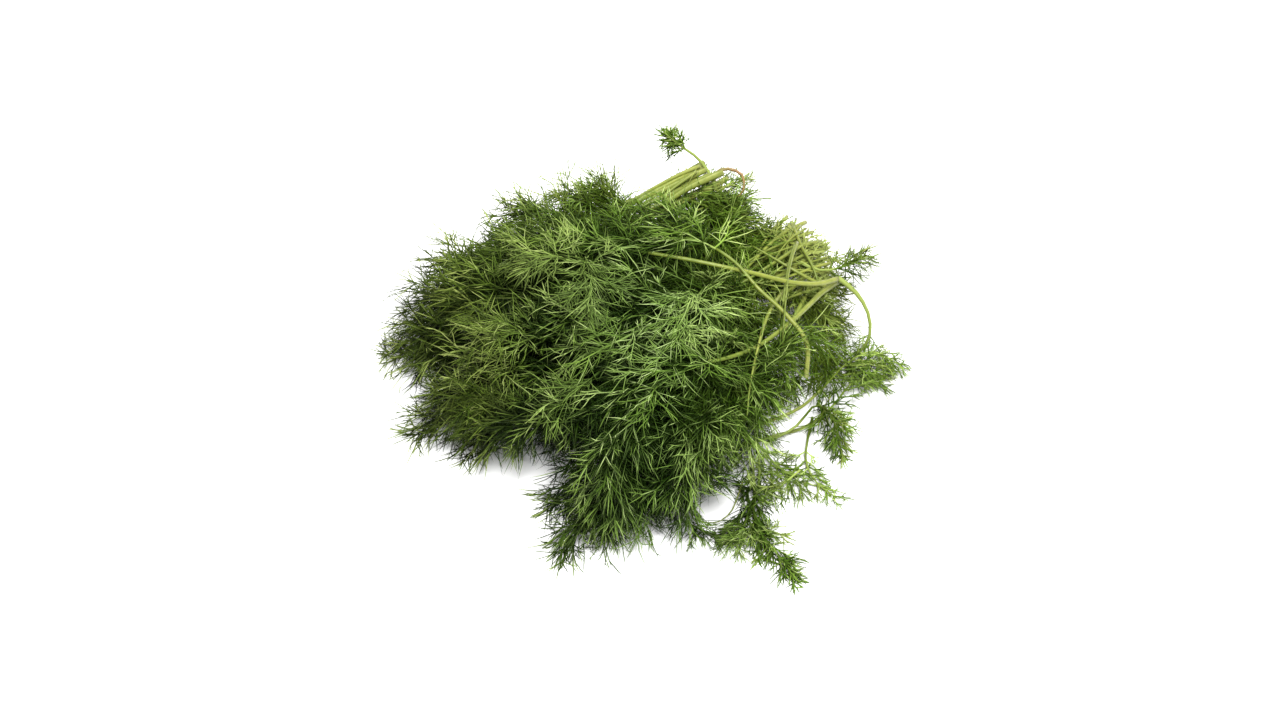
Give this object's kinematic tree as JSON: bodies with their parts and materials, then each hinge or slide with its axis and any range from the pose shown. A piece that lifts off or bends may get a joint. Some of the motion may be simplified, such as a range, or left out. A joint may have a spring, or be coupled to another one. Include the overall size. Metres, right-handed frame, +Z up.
{
  "type": "dill bunch",
  "caption": "Loose heap of cut dill sprigs lying flat: pale bare stems gathered at one side, feathery thread-leaved fronds fanned out over the other.",
  "frame": {"origin": "on the table under the middle of the heap's bounding box", "axes": "+Z up from the table, +X along the heap's longest extent towards the cut ends at the right, +Y away from the side that is seen"},
  "size_m": [0.2978, 0.2641, 0.0953],
  "materials": {
    "leaf": "matte fresh green, darker inside the heap, yellower at the young plumes",
    "stem": "satin pale yellow-green, finely ribbed, whitish at the cut ends"
  },
  "bodies": {
    "root": {"crown_left_stem": "stem", "crown_right_stem": "stem", "crown_middle_stem": "stem", "crown_front_stem": "stem", "crown_low_stem": "stem", "front_drape_stem": "stem", "arched_stem": "stem", "back_plume_stem": "stem", "back_left_stem": "stem", "upper_left_stem": "stem", "back_curl_stem": "stem", "left_upper_stem": "stem", "left_tip_stem": "stem", "left_between_stem": "stem", "left_low_stem": "stem", "left_lower_stem": "stem", "front_left_stem": "stem", "front_low_stem": "stem", "front_tip_stem": "stem", "open_spray_stem": "stem", "right_far_stem": "stem", "right_tip_stem": "stem", "behind_left_stem": "stem", "behind_middle_stem": "stem", "behind_right_stem": "stem", "crown_left_leaf": "leaf", "crown_right_leaf": "leaf", "crown_middle_leaf": "leaf", "crown_front_leaf": "leaf", "crown_low_leaf": "leaf", "front_drape_leaf": "leaf", "arched_leaf": "leaf", "back_plume_leaf": "leaf", "back_left_leaf": "leaf", "upper_left_leaf": "leaf", "back_curl_leaf": "leaf", "left_upper_leaf": "leaf", "left_tip_leaf": "leaf", "left_between_leaf": "leaf", "left_low_leaf": "leaf", "left_lower_leaf": "leaf", "front_left_leaf": "leaf", "front_low_leaf": "leaf", "front_tip_leaf": "leaf", "open_spray_leaf": "leaf", "right_far_leaf": "leaf", "right_tip_leaf": "leaf", "low_right_leaf": "leaf", "right_tuft_leaf": "leaf", "right_small_leaf": "leaf", "spray_right_leaf": "leaf", "right_top_leaf": "leaf", "right_under_leaf": "leaf", "right_edge_leaf": "leaf", "lone_leaf": "leaf", "right_loop_leaf": "leaf", "hanging_leaf": "leaf", "behind_left_leaf": "leaf", "behind_middle_leaf": "leaf", "behind_right_leaf": "leaf"}
  },
  "joints": []
}
